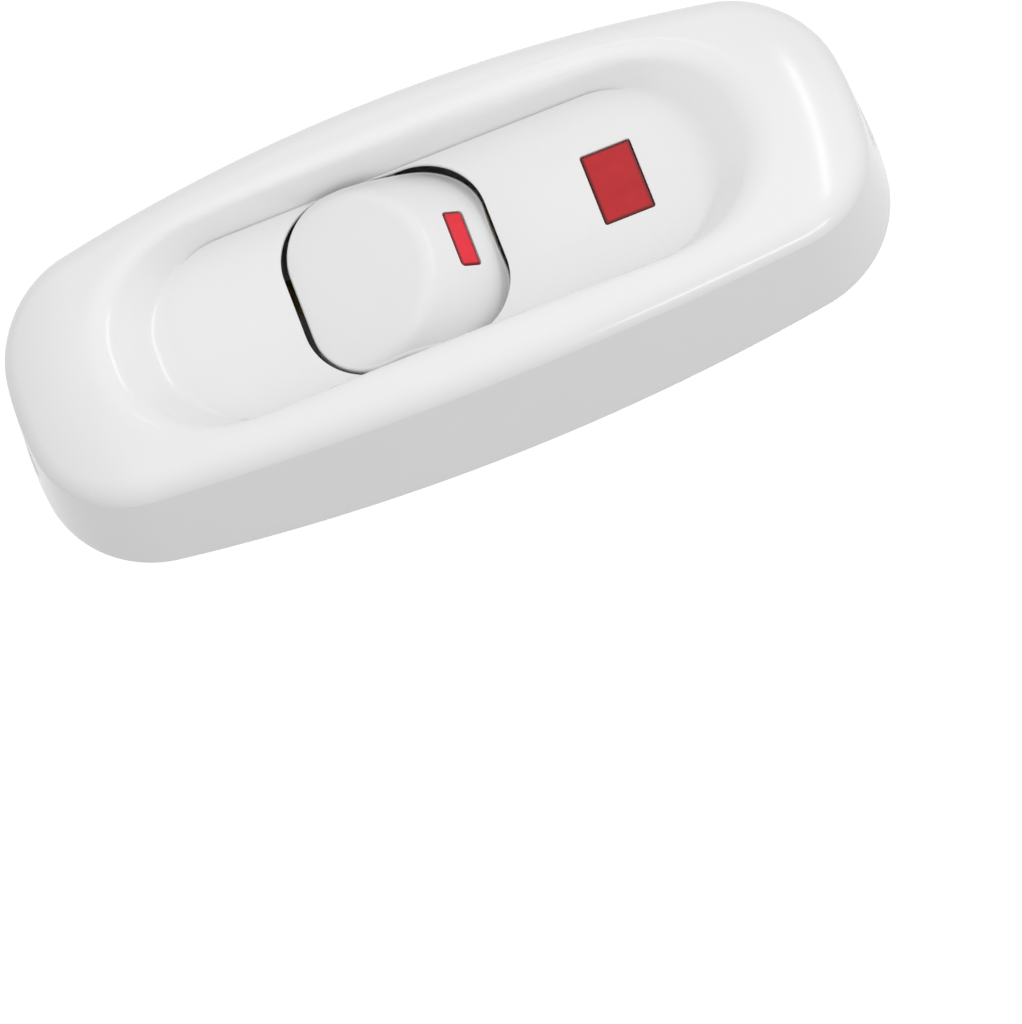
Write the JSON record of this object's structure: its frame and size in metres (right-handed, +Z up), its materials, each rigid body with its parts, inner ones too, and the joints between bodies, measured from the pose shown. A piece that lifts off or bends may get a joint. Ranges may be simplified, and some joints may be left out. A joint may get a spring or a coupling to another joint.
{
  "type": "inline cord switch",
  "caption": "Long white inline cord switch with a dished top, a tilting rocker button with a red flag, a red indicator window and a round cord inlet in each end.",
  "frame": {"origin": "centre of the case's bottom face", "axes": "+X along the case towards the indicator window, +Y across it, +Z up out of the dished top"},
  "size_m": [0.096, 0.0376, 0.0201],
  "materials": {
    "white_case": "glossy white moulded plastic",
    "white_rocker": "white moulded plastic, slightly less glossy than the case",
    "red_flag": "bright red plastic",
    "red_lens": "deep red translucent plastic",
    "nylon": "natural nylon",
    "brass": "stamped brass",
    "silver": "silver contact metal",
    "lamp_glass": "clear glass",
    "resistor_body": "lacquered ceramic",
    "tinned_wire": "tinned copper",
    "plated_steel": "zinc plated"
  },
  "bodies": {
    "case": {"base_plate": "white_case", "case_screw_left_back": "plated_steel", "case_screw_left_front": "plated_steel", "case_screw_right_back": "plated_steel", "case_screw_right_front": "plated_steel", "clamp_screw_left_back": "plated_steel", "clamp_screw_left_front": "plated_steel", "clamp_screw_right_back": "plated_steel", "clamp_screw_right_front": "plated_steel", "cord_clamp_left": "nylon", "cord_clamp_right": "nylon", "cover": "white_case", "fixed_contact_tip": "silver", "fixed_terminal": "brass", "indicator_lens": "red_lens", "lamp_lead_link": "tinned_wire", "lamp_lead_live": "tinned_wire", "live_in_screw": "plated_steel", "live_out_screw": "plated_steel", "neon_lamp": "lamp_glass", "neutral_bar": "brass", "neutral_screw_left": "plated_steel", "neutral_screw_right": "plated_steel", "pivot_terminal": "brass", "resistor_lead_neutral": "tinned_wire", "series_resistor": "resistor_body"},
    "rocker": {"rocker": "white_rocker", "rocker_flag": "red_flag", "rocker_spring": "plated_steel"},
    "plunger": {"rocker_plunger": "nylon"},
    "contact": {"contact_rocker": "brass", "moving_contact_tip": "silver"}
  },
  "joints": [
    {"name": "rocker_tilt", "type": "hinge", "parent": "case", "child": "rocker", "pos_m": [-0.00435, 0, 0.0103], "axis": [0, 1, 0], "range_deg": [0, 18]},
    {"name": "plunger_slide", "type": "slide", "parent": "rocker", "child": "plunger", "axis": [-0.1564, 0, 0.9877], "range_m": [0, 0.0008], "stiffness_N_per_m": 400, "deforming": ["rocker_spring"]},
    {"name": "contact_tilt", "type": "hinge", "parent": "case", "child": "contact", "pos_m": [-0.00435, 0, 0.005], "axis": [0, 1, 0], "range_deg": [-14, 0]}
  ],
  "couplings": [
    {"joint": "contact_tilt", "follows": "rocker_tilt", "ratio": -0.77778}
  ]
}
